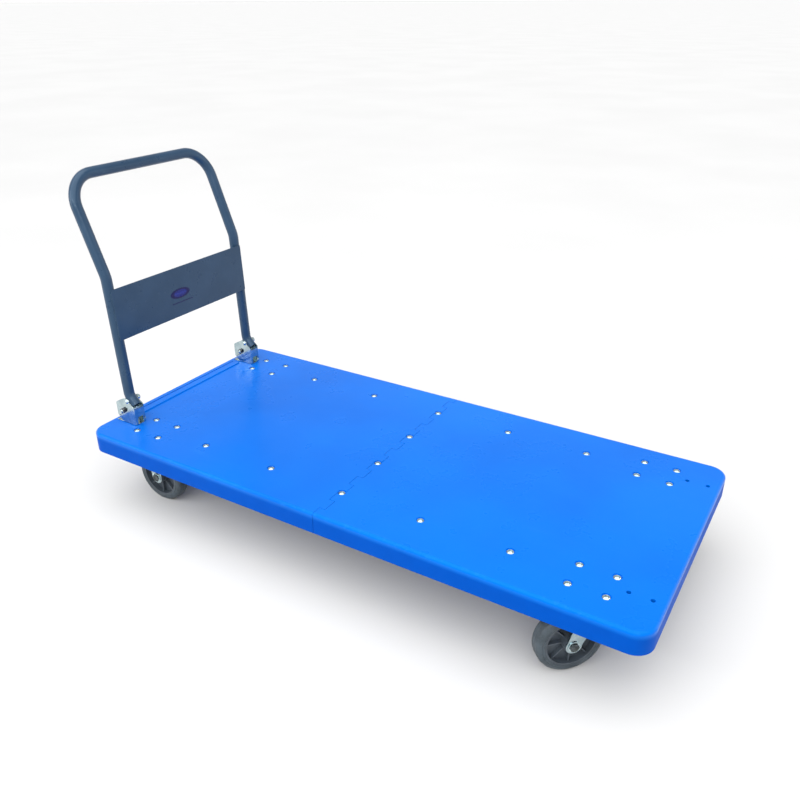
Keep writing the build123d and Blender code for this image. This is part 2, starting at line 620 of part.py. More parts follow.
def cross_plate():
    """Flat sheet welded on the front of the legs."""
    plane = leg_plane()
    centre = plane.from_local_coords((TUBE_RADIUS + WELD_GAP, 0, (PLATE_BOTTOM + PLATE_TOP) / 2 - KINK_HEIGHT))
    face = Plane(origin=centre, x_dir=(0, 1, 0), z_dir=plane.x_dir)
    width = 2 * (HANDLE_Y + CROSS_PLATE_REACH)
    face *= RectangleRounded(width, PLATE_TOP - PLATE_BOTTOM, CROSS_PLATE_CORNER)
    return single(extrude(face, amount=CROSS_PLATE_WALL))


def label():
    """Oval label on the front of the cross plate."""
    height = (PLATE_BOTTOM + PLATE_TOP) / 2 - LABEL_DROP - KINK_HEIGHT
    plane = leg_plane()
    front = TUBE_RADIUS + WELD_GAP + CROSS_PLATE_WALL
    centre = plane.from_local_coords((front, LABEL_Y, height))
    face = Plane(origin=centre, x_dir=(0, 1, 0), z_dir=plane.x_dir)
    face *= Ellipse(LABEL_LENGTH / 2, LABEL_HEIGHT / 2)
    return single(extrude(face, amount=LABEL_WALL))


def ear_face():
    """Side outline of a bracket's ear, in X and Z."""
    front = BRACKET_FRONT
    back = front - EAR_LENGTH
    base = DECK_HEIGHT
    outline = Polygon(
        (front, base), (front, base + EAR_FRONT_HEIGHT), (PIVOT[0] - EAR_CORNER, base + EAR_TOP_HEIGHT),
        (front - EAR_TOP_BACK, base + EAR_TOP_HEIGHT - EAR_CORNER), (back, base + EAR_BACK_HEIGHT),
        (back, base + EAR_UNDERCUT), (back + EAR_UNDERCUT, base), align=None,
    )
    upper = [v for v in outline.vertices() if v.Y > base + EAR_FRONT_HEIGHT + 1]
    outline = fillet(upper, EAR_CORNER)
    return outline + Pos(*PIVOT) * Circle(PIVOT_EAR_MARGIN)


def fold_edges(body, y):
    """The outside edges of a bracket's folds: two upright beside the front wall, three round its base."""
    found = []
    for edge in body.edges():
        middle = edge.center()
        outside = abs(abs(middle.Y - y) - EAR_OUTER) < SHEET / 4
        at_front = abs(middle.X - BRACKET_FRONT) < SHEET / 4
        at_base = abs(middle.Z - DECK_HEIGHT) < SHEET / 4
        straight = edge.length > FRONT_WALL_HEIGHT / 2 or (at_front and at_base)
        if straight and (outside + at_front + at_base) == 2:
            found.append(edge)
    return found


def bracket(side):
    """Folded sheet: two ears, a base and a front wall with a window over the front bolt."""
    y = side * HANDLE_Y
    front = BRACKET_FRONT
    back = front - EAR_LENGTH - BASE_OVERHANG
    base = DECK_HEIGHT
    body = block((back, front), (y - EAR_OUTER, y + EAR_OUTER), (base, base + SHEET))
    body += block((front - SHEET, front), (y - EAR_OUTER, y + EAR_OUTER), (base, base + FRONT_WALL_HEIGHT))
    body += side_prism(ear_face(), (y + EAR_INNER, y + EAR_OUTER))
    body += side_prism(ear_face(), (y - EAR_OUTER, y - EAR_INNER))
    window = (y - WINDOW_WIDTH / 2, y + WINDOW_WIDTH / 2)
    sill = base + SHEET
    body -= block((front - 2 * SHEET, front + OVERLAP), window, (sill, sill + WINDOW_HEIGHT))
    across = (y - 2 * EAR_OUTER, y + 2 * EAR_OUTER)
    body -= rod_y(PIVOT_RADIUS + THREAD_CLEARANCE, PIVOT[0], across, PIVOT[1])
    body -= rod_y(LOCK_PIN_RADIUS + THREAD_CLEARANCE, LOCK_PIN[0], across, LOCK_PIN[1])
    z = (base - OVERLAP, base + SHEET + OVERLAP)
    spots = [spot for spot in bracket_bolt_spots(-1) if spot[1] * side > 0]
    body -= [rod_z(BOLT_HOLE_RADIUS, a, b, z) for a, b in spots]
    return single(fillet(fold_edges(body, y), BEND_RADIUS))


def bracket_fasteners():
    """Hex bolts from under the rail, with their nuts on the brackets' bases."""
    top = DECK_HEIGHT + SHEET + NUT_HEIGHT + BRACKET_BOLT_STANDOUT
    head = Pos(0, 0, RAIL_BOTTOM) * Rot(180, 0, 0) * extrude(
        RegularPolygon(NUT_WIDTH / 2, 6, major_radius=False), amount=AXLE_HEAD_HEIGHT
    )
    bolt = single(head + rod_z(BOLT_RADIUS, 0, 0, (RAIL_BOTTOM - OVERLAP, top)))
    nut = Pos(0, 0, DECK_HEIGHT + SHEET) * hex_nut(NUT_WIDTH, NUT_HEIGHT, BOLT_RADIUS + THREAD_CLEARANCE)
    spots = bracket_bolt_spots(-1)
    return [Pos(x, y, 0) * bolt for x, y in spots], [Pos(x, y, 0) * nut for x, y in spots]


def pivot_bolt(y):
    """Pivot bolt through both ears of the bracket centred on y, with its domed head on the -Y ear."""
    end = EAR_OUTER + NUT_HEIGHT + THREAD_OVERRUN
    shank = rod_y(PIVOT_RADIUS, PIVOT[0], (y - EAR_OUTER - OVERLAP, y + end), PIVOT[1])
    outward = Pos(PIVOT[0], y - EAR_OUTER, PIVOT[1]) * Rot(90, 0, 0)
    head = outward * dome(PIVOT_HEAD_RADIUS, PIVOT_HEAD_HEIGHT)
    return single(shank + head)


def pivot_nut(y):
    nut = hex_nut(NUT_WIDTH, NUT_HEIGHT, PIVOT_RADIUS + THREAD_CLEARANCE)
    return Pos(PIVOT[0], y + EAR_OUTER, PIVOT[1]) * Rot(-90, 0, 0) * nut


def spring_stack():
    """Room that the coil takes on the lock pin outside the ear."""
    return SPRING_STANDOFF + SPRING_TURNS * SPRING_PITCH + 2 * SPRING_WIRE


def lock_pin(y):
    """Headed pin across the ears. It carries the lock lever and, outside the -Y ear, the spring."""
    ends = (y - EAR_OUTER - spring_stack(), y + EAR_OUTER)
    pin = rod_y(LOCK_PIN_RADIUS, LOCK_PIN[0], (ends[0] - OVERLAP, ends[1] + OVERLAP), LOCK_PIN[1])
    cap = dome(LOCK_PIN_HEAD_RADIUS, LOCK_PIN_HEAD_HEIGHT)
    heads = [
        Pos(LOCK_PIN[0], at, LOCK_PIN[1]) * Rot(turn, 0, 0) * cap for at, turn in zip(ends, (90, -90))
    ]
    return single(pin + heads)


def lock_lever(middle):
    """Lever on the lock pin, with a nose behind the foot and a finger tail at the back."""
    y = (middle - LEVER_WIDTH / 2, middle + LEVER_WIDTH / 2)
    reach = FOOT_SWEEP + FOOT_SWEEP_CLEARANCE + LEVER_TIP_RADIUS
    nose = (
        PIVOT[0] - reach * sin(radians(NOSE_ANGLE)),
        PIVOT[1] - reach * cos(radians(NOSE_ANGLE)),
    )
    tail = (LOCK_PIN[0] - LEVER_TAIL, LOCK_PIN[1] + LEVER_TAIL_RISE)
    hub = Pos(*LOCK_PIN) * Circle(LEVER_HUB_RADIUS)
    tips = [Pos(*tip) * Circle(LEVER_TIP_RADIUS) for tip in (nose, tail)]
    arms = [make_hull((tip + Pos(*LOCK_PIN) * Circle(LEVER_TIP_RADIUS)).edges()) for tip in tips]
    lever = side_prism(hub + arms, y)
    bore = (y[0] - OVERLAP, y[1] + OVERLAP)
    return single(lever - rod_y(LOCK_PIN_RADIUS + RUNNING_CLEARANCE, LOCK_PIN[0], bore, LOCK_PIN[1]))


def lock_spring(y):
    """Torsion spring around the lock pin outside the -Y ear: a leg forward and up, a leg down."""
    height = SPRING_TURNS * SPRING_PITCH
    coil_path = Helix(pitch=SPRING_PITCH, height=height, radius=SPRING_RADIUS)
    section = Plane(origin=coil_path @ 0, z_dir=coil_path % 0) * Circle(SPRING_WIRE)
    coil = sweep(section, path=coil_path, is_frenet=True)
    wire = Cylinder(SPRING_WIRE, SPRING_FRONT_LEG, align=LOW)
    back = Cylinder(SPRING_WIRE, SPRING_BACK_LEG, align=LOW)
    spring = coil + Pos(SPRING_RADIUS, 0, 0) * Rot(-90, 0, 0) * wire
    spring += Pos(SPRING_RADIUS, 0, height) * Rot(90, 0, 0) * back
    outward = Plane(origin=(0, 0, 0), x_dir=(1, 0, 0), z_dir=(0, -1, 0))
    turned = outward * (Rot(0, 0, SPRING_FRONT_LEG_ANGLE - 90) * spring)
    start = y - EAR_OUTER - SPRING_STANDOFF - SPRING_WIRE
    return single(Pos(LOCK_PIN[0], start, LOCK_PIN[1]) * turned)


# ---------------------------------------------------------------- write every node
def save_deck():
    save("deck_half_rear", deck_half([end_strip()]))
    save("deck_half_front", Rot(0, 0, 180) * deck_half([]))
    for name, side in SIDES.items():
        save(f"rail_{name}", rail(side))
    save("cross_member", cross_member())
    caster_spots = caster_bolt_spots(-CASTER_X) + caster_bolt_spots(CASTER_X)
    bolts, nuts = bolts_with_nuts(caster_spots, PLATE_UNDER)
    save("caster_bolts", *bolts)
    save("caster_nuts", *nuts)
    bolts, nuts = bolts_with_nuts(rail_bolt_spots() + joint_bolt_spots(RAIL_Y), RAIL_BOTTOM)
    save("rail_bolts", *bolts)
    save("rail_nuts", *nuts)
    bolts, nuts = bolts_with_nuts(joint_bolt_spots(2 * TAB_PITCH), CROSS_TOP - CROSS_WALL)
    save("seam_bolts", *bolts)
    save("seam_nuts", *nuts)


def save_handle():
    save("handle_tube", handle_tube())
    save("handle_plate", cross_plate())
    save("handle_label", label())
    save("pivot_bushes", *[pivot_bush(side) for side in SIDES.values()])
    save("pivot_bolts", *[pivot_bolt(side * HANDLE_Y) for side in SIDES.values()])
    save("pivot_nuts", *[pivot_nut(side * HANDLE_Y) for side in SIDES.values()])
    bolts, nuts = bracket_fasteners()
    save("bracket_bolts", *bolts)
    save("bracket_nuts", *nuts)
    for name, side in SIDES.items():
        save(f"bracket_{name}", bracket(side))
        save(f"lock_pin_{name}", lock_pin(side * HANDLE_Y))
        save(f"lock_lever_{name}", lock_lever(side * HANDLE_Y))
        save(f"lock_spring_{name}", lock_spring(side * HANDLE_Y))


def save_wheel(name, place):
    save(f"tread_{name}", place * wheel_tread())
    save(f"wheel_core_{name}", place * wheel_core())
    save(f"wheel_bush_{name}", place * wheel_bush())


def save_casters():
    for name, side in SIDES.items():
        spot = Pos(-CASTER_X, side * RAIL_Y, 0)
        turn = Rot(0, 0, 0 if side < 0 else 180)
        hub = spot * Pos(0, 0, WHEEL_RADIUS) * turn
        save(f"fixed_fork_{name}", spot * fixed_fork())
        save(f"rear_axle_{name}", hub * axle_bolt(), hub * axle_nut())
        save_wheel(f"rear_{name}", hub)
    angles = {"right": SWIVEL_ANGLE_RIGHT, "left": SWIVEL_ANGLE_LEFT}
    for name, side in SIDES.items():
        spot = Pos(CASTER_X, side * RAIL_Y, 0)
        turned = spot * Rot(0, 0, angles[name])
        hub = turned * Pos(-TRAIL, 0, WHEEL_RADIUS)
        save(f"swivel_plate_{name}", spot * swivel_plate())
        balls = ball_row(UPPER_BALLS, UPPER_BALL_CIRCLE, upper_ball_height())
        balls += ball_row(LOWER_BALLS, LOWER_BALL_CIRCLE, lower_ball_height())
        save(f"swivel_balls_{name}", *[spot * ball for ball in balls])
        save(f"lower_race_{name}", spot * lower_race())
        save(f"king_pin_{name}", spot * king_pin())
        save(f"swivel_fork_{name}", turned * swivel_fork())
        save(f"front_axle_{name}", hub * axle_bolt(), hub * axle_nut())
        save_wheel(f"front_{name}", hub)


os.makedirs("parts", exist_ok=True)
save_deck()
save_handle()
save_casters()
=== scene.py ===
"""Looks of the folding platform cart: plastic deck, painted handle, zinc hardware, rubber tyres."""

import json
import math

import bmesh
import bpy
from mathutils import Matrix, Vector
from mathutils.bvhtree import BVHTree

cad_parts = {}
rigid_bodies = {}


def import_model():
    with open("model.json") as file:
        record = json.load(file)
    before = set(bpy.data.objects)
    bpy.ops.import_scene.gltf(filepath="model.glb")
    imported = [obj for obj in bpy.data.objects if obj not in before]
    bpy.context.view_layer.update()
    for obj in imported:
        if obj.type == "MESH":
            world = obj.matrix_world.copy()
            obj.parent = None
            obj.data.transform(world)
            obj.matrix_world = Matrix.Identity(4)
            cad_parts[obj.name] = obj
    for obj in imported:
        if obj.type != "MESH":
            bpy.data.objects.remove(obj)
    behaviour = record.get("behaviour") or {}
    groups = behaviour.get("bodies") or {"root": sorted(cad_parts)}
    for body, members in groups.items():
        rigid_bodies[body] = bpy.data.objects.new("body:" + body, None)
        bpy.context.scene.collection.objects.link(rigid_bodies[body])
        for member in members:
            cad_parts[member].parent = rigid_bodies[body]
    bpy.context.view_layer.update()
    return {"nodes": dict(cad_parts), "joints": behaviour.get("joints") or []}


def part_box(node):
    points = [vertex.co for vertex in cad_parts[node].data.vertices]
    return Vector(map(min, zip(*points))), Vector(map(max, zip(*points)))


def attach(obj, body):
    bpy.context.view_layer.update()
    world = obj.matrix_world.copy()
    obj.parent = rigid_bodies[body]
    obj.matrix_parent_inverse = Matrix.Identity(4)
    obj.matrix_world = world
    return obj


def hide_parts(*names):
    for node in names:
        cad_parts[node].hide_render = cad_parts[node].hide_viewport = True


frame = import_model()
NODES = frame["nodes"]
JOINTS = {joint["name"]: joint for joint in frame["joints"]}
MM = 0.001
SIDES = ("right", "left")
SIGNS = (("right", -1), ("left", 1))
TUBE_RADIUS = 14 * MM
SLEEVE_RADIUS = 7.1 * MM
SLEEVE_STEPS = 48
PLATE_STITCHES = ((0.05, 0.27), (0.40, 0.60), (0.73, 0.95))     # shares of the plate's height
BEAD_SIDES = 10
BEAD_STEPS_PER_RIPPLE = 6
HUB_REACH = 19 * MM
RULE_HALF_LENGTH, RULE_RADIUS, RULE_DROP, RULE_SHIFT = 37, 1.1, 25 * MM, 5 * MM


# ---------------------------------------------------------------- node graphs
class Graph:
    """Short names for the nodes of one material. Coordinates are the row frame's, in metres."""

    def __init__(self, name, **sockets):
        self.material = bpy.data.materials.new(name)
        self.material.use_nodes = True
        self.tree = self.material.node_tree
        self.shader = self.tree.nodes["Principled BSDF"]
        for socket, value in sockets.items():
            self.shader.inputs[socket.replace("_", " ")].default_value = value
        self.place = self.tree.nodes.new("ShaderNodeTexCoord").outputs["Object"]

    def put(self, socket, value):
        """A link or a plain value on one input."""
        if isinstance(value, bpy.types.NodeSocket):
            self.tree.links.new(value, socket)
        else:
            socket.default_value = value

    def finish(self, color=None, rough=None, normal=None):
        for socket, value in (("Base Color", color), ("Roughness", rough), ("Normal", normal)):
            if value is not None:
                self.put(self.shader.inputs[socket], value)
        return self.material

    def stretched(self, scale, turn=(0, 0, 0)):
        node = self.tree.nodes.new("ShaderNodeMapping")
        node.inputs["Rotation"].default_value = turn
        node.inputs["Scale"].default_value = scale
        self.put(node.inputs["Vector"], self.place)
        return node.outputs["Vector"]

    def noise(self, scale, detail=3.0, rough=0.5, warp=0.0, at=None):
        node = self.tree.nodes.new("ShaderNodeTexNoise")
        node.inputs["Scale"].default_value = scale
        node.inputs["Detail"].default_value = detail
        node.inputs["Roughness"].default_value = rough
        node.inputs["Distortion"].default_value = warp
        self.put(node.inputs["Vector"], at or self.place)
        return node.outputs["Fac"]

    def math(self, operation, *values):
        node = self.tree.nodes.new("ShaderNodeMath")
        node.operation = operation
        for socket, value in zip(node.inputs, values):
            self.put(socket, value)
        return node.outputs["Value"]

    def span(self, value, low, high, to_low=0.0, to_high=1.0):
        """A smooth step between two values."""
        node = self.tree.nodes.new("ShaderNodeMapRange")
        node.interpolation_type = "SMOOTHSTEP"
        for socket, given in zip(node.inputs, (value, low, high, to_low, to_high)):
            self.put(socket, given)
        return node.outputs["Result"]

    def axis(self, name, at=None):
        node = self.tree.nodes.new("ShaderNodeSeparateXYZ")
        self.put(node.inputs["Vector"], at or self.place)
        return node.outputs[name]

    def mix(self, share, first, second):
        node = self.tree.nodes.new("ShaderNodeMix")
        node.data_type = "RGBA"
        self.put(node.inputs["Factor"], share)
        for socket, value in ((node.inputs[6], first), (node.inputs[7], second)):
            self.put(socket, (*value, 1.0) if isinstance(value, tuple) else value)
        return node.outputs[2]

    def bump(self, height, distance, strength=1.0, under=None):
        node = self.tree.nodes.new("ShaderNodeBump")
        node.inputs["Strength"].default_value = strength
        node.inputs["Distance"].default_value = distance
        self.put(node.inputs["Height"], height)
        if under is not None:
            self.put(node.inputs["Normal"], under)
        return node.outputs["Normal"]


# ---------------------------------------------------------------- materials
def deck_plastic():
    """Glossy blue polypropylene: faint flow waves, fine grain, a few hairline scuffs, rubbed edges, and
    painted shade that darkens the upright sides and ends.
    """
    g = Graph("deck_plastic_looks", IOR=1.49, Specular_Tint=(0.15, 0.5, 1.0, 1.0))
    low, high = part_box("deck_half_rear")
    across = g.math("ABSOLUTE", g.axis("Y"))
    rim = g.span(across, high.y - 12 * MM, high.y - 1 * MM)
    upper = g.span(g.axis("Z"), 0.198, 0.214)
    worn = g.span(g.noise(60, 5, 0.65), 0.50, 0.74)
    rubbed = g.math("MULTIPLY", g.math("MULTIPLY", rim, upper), worn)
    hairs = g.noise(46, 2, 0.5, 0.0, g.stretched((0.05, 1, 1), (0, 0, 0.35)))
    scuffs = g.math("MULTIPLY", g.span(hairs, 0.66, 0.70), g.span(g.noise(4, 2), 0.50, 0.66))
    blotches = g.span(g.noise(2.6, 3, 0.5), 0.3, 0.7)
    color = g.mix(blotches, (0.000, 0.112, 0.53), (0.000, 0.136, 0.61))
    color = g.mix(g.math("MULTIPLY", scuffs, 0.04), color, (0.06, 0.32, 0.85))
    color = g.mix(g.math("MULTIPLY", rubbed, 0.10), color, (0.08, 0.32, 0.85))
    # painted shade: a darker blue is mixed in on the upright sides and ends, standing in for the lesser light
    # that falls on them
    painted_side_shade = g.mix(g.noise(35, 3, 0.6), (0.000, 0.050, 0.34), (0.000, 0.066, 0.42))
    upright = g.span(g.axis("Z"), low.z + 34 * MM, high.z - 9 * MM, 1.0, 0.0)
    color = g.mix(g.math("MULTIPLY", upright, 0.85), color, painted_side_shade)
    rough = g.span(g.noise(7, 4, 0.6), 0.25, 0.75, 0.25, 0.36)
    rough = g.math("ADD", rough, g.math("MULTIPLY", g.math("ADD", scuffs, rubbed), 0.05))
    rough = g.math("ADD", rough, g.math("MULTIPLY", upright, 0.22))
    g.put(g.shader.inputs["Specular IOR Level"], g.span(upright, 0.0, 1.0, 0.26, 0.06))
    waves = g.noise(11, 2, 0.4, 0.0, g.stretched((1, 1.8, 1)))
    normal = g.bump(waves, 0.0016, 0.16)
    grain = g.noise(60, 1, 0.4, 0.0, g.stretched((1.0, 0.5, 1), (0, 0, 0.25)))
    normal = g.bump(grain, 0.00008, 0.2, normal)
    return g.finish(color, rough, normal)


def handle_paint():
    """Grey-blue gloss powder coat with orange peel and small chips."""
    g = Graph("handle_paint_looks", Specular_IOR_Level=0.36, Coat_Weight=0.12, Coat_Roughness=0.1)
    g.shader.inputs["Specular Tint"].default_value = (0.62, 0.85, 1.0, 1.0)
    chips = g.span(g.noise(120, 2, 0.5), 0.68, 0.80)
    color = g.mix(g.span(g.noise(12, 4, 0.6), 0.3, 0.7), (0.017, 0.042, 0.084), (0.023, 0.052, 0.100))
    color = g.mix(g.math("MULTIPLY", chips, 0.25), color, (0.10, 0.13, 0.18))
    rough = g.span(g.noise(30, 4, 0.6), 0.25, 0.75, 0.26, 0.36)
    normal = g.bump(g.noise(260, 1, 0.4), 0.00006, 0.25)
    return g.finish(color, rough, normal)


def zinc(name="zinc_looks", dark=(0.36, 0.46, 0.49), light=(0.50, 0.60, 0.62),
         rough_low=0.12, rough_high=0.22):
    """Bright zinc plate: faint blue-green cast, cloudy patches, hairline scratches, a few dull specks."""
    g = Graph(name, Metallic=1.0)
    clouds = g.noise(70, 3, 0.5, 0.3)
    color = g.mix(g.span(clouds, 0.35, 0.7), dark, light)
    color = g.mix(g.math("MULTIPLY", g.span(g.noise(28, 2), 0.5, 0.75), 0.15), color, (0.52, 0.55, 0.46))
    specks = g.span(g.noise(420, 3, 0.6), 0.70, 0.78)
    color = g.mix(g.math("MULTIPLY", specks, 0.22), color, (0.24, 0.28, 0.29))
    rough = g.span(clouds, 0.3, 0.75, rough_low, rough_high)
    rough = g.math("ADD", rough, g.math("MULTIPLY", specks, 0.2))
    hairs = g.noise(260, 2, 0.6, 0.0, g.stretched((1, 0.08, 1), (0.4, 0.2, 0.6)))
    normal = g.bump(hairs, 0.000012, 0.2)
    normal = g.bump(g.noise(90, 1, 0.5), 0.00003, 0.2, normal)
    return g.finish(color, rough, normal)


def tread_rubber():
    """Dark grey rubber with a fine skin, grey bloom and dust."""
    g = Graph("tread_rubber_looks", IOR=1.45)
    color = g.mix(g.span(g.noise(45, 4, 0.65), 0.3, 0.7), (0.030, 0.042, 0.052), (0.056, 0.076, 0.092))
    bloom = g.span(g.noise(160, 5, 0.7), 0.5, 0.8)
    color = g.mix(g.math("MULTIPLY", bloom, 0.35), color, (0.13, 0.15, 0.165))
    rough = g.span(g.noise(120, 4, 0.6), 0.3, 0.7, 0.32, 0.52)
    normal = g.bump(g.noise(700, 3, 0.6), 0.00014, 0.55)
    normal = g.bump(g.noise(60, 2, 0.5), 0.0004, 0.35, normal)
    return g.finish(color, rough, normal)


def moulded_plastic(name, dark, light, rough_low, rough_high):
    """Injection moulded part: fine spark texture, faint flow marks and dust."""
    g = Graph(name, IOR=1.48)
    color = g.mix(g.span(g.noise(35, 4, 0.6), 0.3, 0.7), dark, light)
    dust = g.math("MULTIPLY", g.span(g.noise(480, 4, 0.7), 0.55, 0.8), 0.22)
    color = g.mix(dust, color, tuple(min(1.0, 2.2 * c + 0.05) for c in light))
    rough = g.span(g.noise(90, 4, 0.6), 0.3, 0.7, rough_low, rough_high)
    normal = g.bump(g.noise(1100, 2, 0.6), 0.00006, 0.6)
    normal = g.bump(g.noise(70, 2, 0.5), 0.0003, 0.25, normal)
    return g.finish(color, rough, normal)


def frame_paint():
    """Black dip paint over mill scale, with runs and rubbed patches."""
    g = Graph("frame_paint_looks", IOR=1.5)
    worn = g.span(g.noise(140, 5, 0.7), 0.66, 0.74)
    color = g.mix(g.span(g.noise(20, 4, 0.6), 0.3, 0.7), (0.016, 0.017, 0.019), (0.034, 0.036, 0.040))
    color = g.mix(g.math("MULTIPLY", worn, 0.6), color, (0.11, 0.105, 0.1))
    rough = g.math("ADD", g.span(g.noise(40, 4), 0.3, 0.7, 0.34, 0.52), g.math("MULTIPLY", worn, 0.2))
    normal = g.bump(g.noise(380, 3, 0.5), 0.0001, 0.5)
    runs = g.noise(9, 2, 0.5, 0.0, g.stretched((1, 1, 6)))
    return g.finish(color, rough, g.bump(runs, 0.0006, 0.2, normal))


def spring_steel():
    g = Graph("spring_steel_looks", Metallic=1.0)
    color = g.mix(g.span(g.noise(300, 4, 0.6), 0.3, 0.7), (0.07, 0.075, 0.085), (0.17, 0.17, 0.18))
    rough = g.span(g.noise(500, 3, 0.6), 0.3, 0.7, 0.28, 0.5)
    return g.finish(color, rough, g.bump(g.noise(2200, 2, 0.5), 0.00002, 0.5))


def ball_steel():
    g = Graph("ball_steel_looks", Metallic=1.0)
    color = g.mix(g.span(g.noise(400, 3, 0.6), 0.3, 0.7), (0.55, 0.56, 0.58), (0.68, 0.69, 0.70))
    rough = g.span(g.noise(900, 3, 0.6), 0.3, 0.7, 0.10, 0.22)
    return g.finish(color, rough, g.bump(g.noise(1800, 2, 0.5), 0.00001, 0.4))


def label_film():
    """Plain printed oval: a broad dark border round a mid blue field with a plain band."""
    g = Graph("label_film_looks", Specular_IOR_Level=0.25, Coat_Weight=0.08, Coat_Roughness=0.1)
    low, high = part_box("handle_label")
    centre, half = (low + high) / 2, (high - low) / 2
    across = g.math("DIVIDE", g.math("SUBTRACT", g.axis("Y"), centre.y), half.y)
    up = g.math("DIVIDE", g.math("SUBTRACT", g.axis("Z"), centre.z), half.z)
    out = g.math("SQRT", g.math("ADD", g.math("MULTIPLY", across, across), g.math("MULTIPLY", up, up)))
    field = g.mix(g.span(g.noise(220, 3, 0.5), 0.3, 0.7), (0.004, 0.010, 0.12), (0.007, 0.016, 0.17))
    band_height = g.span(g.math("ABSOLUTE", up), 0.14, 0.20, 1.0, 0.0)
    band_length = g.span(g.math("ABSOLUTE", across), 0.55, 0.60, 1.0, 0.0)
    band = g.math("MULTIPLY", band_height, band_length)
    color = g.mix(g.math("MULTIPLY", band, 0.30), field, (0.03, 0.05, 0.30))
    color = g.mix(g.span(out, 0.66, 0.72), color, (0.0008, 0.002, 0.06))
    rough = g.span(g.noise(60, 3, 0.5), 0.3, 0.7, 0.25, 0.38)
    return g.finish(color, rough, g.bump(g.noise(300, 2, 0.5), 0.00004, 0.4))


def stage_floor():
    g = Graph("floor_looks", IOR=1.3)
    g.shader.inputs["Specular IOR Level"].default_value = 0.1
    color = g.mix(g.span(g.noise(0.8, 3, 0.5), 0.3, 0.7), (0.58, 0.58, 0.58), (0.60, 0.60, 0.60))
    return g.finish(color, g.span(g.noise(2.0, 3, 0.5), 0.3, 0.7, 0.85, 0.95))


LOOKS = {
    "deck_plastic": deck_plastic(),
    "handle_paint": handle_paint(),
    "label_film": label_film(),
    "tread_rubber": tread_rubber(),
    "wheel_plastic": moulded_plastic("wheel_plastic_looks", (0.044, 0.056, 0.070),
                                     (0.066, 0.082, 0.100), 0.30, 0.46),
    "bush_nylon": moulded_plastic("bush_nylon_looks", (0.40, 0.40, 0.38),
                                  (0.52, 0.52, 0.50), 0.4, 0.55),
    "spring_steel": spring_steel(),
    "frame_paint": frame_paint(),
    "ball_steel": ball_steel(),
    "zinc": zinc(),
}
OILED_ZINC = zinc("oiled_zinc_looks", (0.055, 0.065, 0.07), (0.13, 0.15, 0.155), 0.22, 0.36)
OILED = ("front_axle", "rear_axle", "king_pin", "lower_race")


def dress_nodes():
    """Give every CAD node the finish of its own material slot."""
    for name, node in NODES.items():
        for index, slot in enumerate(node.data.materials):
            oiled = name.startswith(OILED)
            node.data.materials[index] = OILED_ZINC if oiled else LOOKS[slot.name.split(".")[0]]


# ---------------------------------------------------------------- detail pieces
def add_piece(name, mesh, slot, body, *nodes):
    """One visible piece on a body, with the finish of a slot. It may stand in for CAD nodes."""
    piece = bpy.data.objects.new(name, mesh)
    bpy.context.scene.collection.objects.link(piece)
    mesh.materials.append(LOOKS[slot])
    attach(piece, body)
    if nodes:
        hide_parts(*nodes)
    return piece


def mesh_from(name, vertices, faces, sharp=35.0):
    mesh = bpy.data.meshes.new(name)
    mesh.from_pydata([tuple(vertex) for vertex in vertices], [], faces)
    mesh.validate()
    shaped = bmesh.new()
    shaped.from_mesh(mesh)
    bmesh.ops.recalc_face_normals(shaped, faces=shaped.faces)
    for face in shaped.faces:
        face.smooth = True
    for edge in shaped.edges:
        edge.smooth = not (len(edge.link_faces) == 2 and edge.calc_face_angle() > math.radians(sharp))
    shaped.to_mesh(mesh)
    shaped.free()
    return mesh


def upright(axis):
    """Turns +Z on to an axis."""
    return Vector((0, 0, 1)).rotation_difference(Vector(axis)).to_matrix()


def turned(outlines, centre, axis):
    """Vertices round an axis: one outline of (radius, height) points in mm for each step."""
    turn, centre, vertices = upright(axis), Vector(centre), []
    for step, outline in enumerate(outlines):
        angle = math.tau * step / len(outlines)
        for radius, height in outline:
            point = Vector((radius * math.cos(angle), radius * math.sin(angle), height)) * MM
            vertices.append(centre + turn @ point)
    return vertices


def ring_faces(rings, count, closed=True):
    """Quads between rings of count vertices. A closed row joins the last ring to the first."""
    faces = []
    for step in range(rings if closed else rings - 1):
        here, there = step * count, (step + 1) % rings * count
        for at in range(count):
            after = (at + 1) % count
            faces.append((here + at, there + at, there + after, here + after))
    return faces


def lathed(name, profile, centre, axis, steps=128):
    """A closed outline of (radius, height) points in mm, turned about an axis."""
    vertices = turned([profile] * steps, centre, axis)
    return mesh_from(name, vertices, ring_faces(steps, len(profile)))


def toothed_ring(name, inner, outer, low, high, teeth, centre, axis):
    """A flat ring whose upper face carries fine radial teeth."""
    outlines = []
    for step in range(4 * teeth):
        raised = (0.0, 0.5, 1.0, 0.5)[step % 4]
        outlines.append((
            (inner, low), (outer - 0.5, low), (outer, low + 0.4 * (high - low)),
            (outer, high - 0.9 + 0.5 * raised), (outer - 0.6, high - 0.7 + 0.7 * raised),
            (inner + 0.8, high - 0.3), (inner, high - 0.3),
        ))
    vertices = turned(outlines, centre, axis)
    return mesh_from(name, vertices, ring_faces(len(outlines), len(outlines[0])), 25.0)


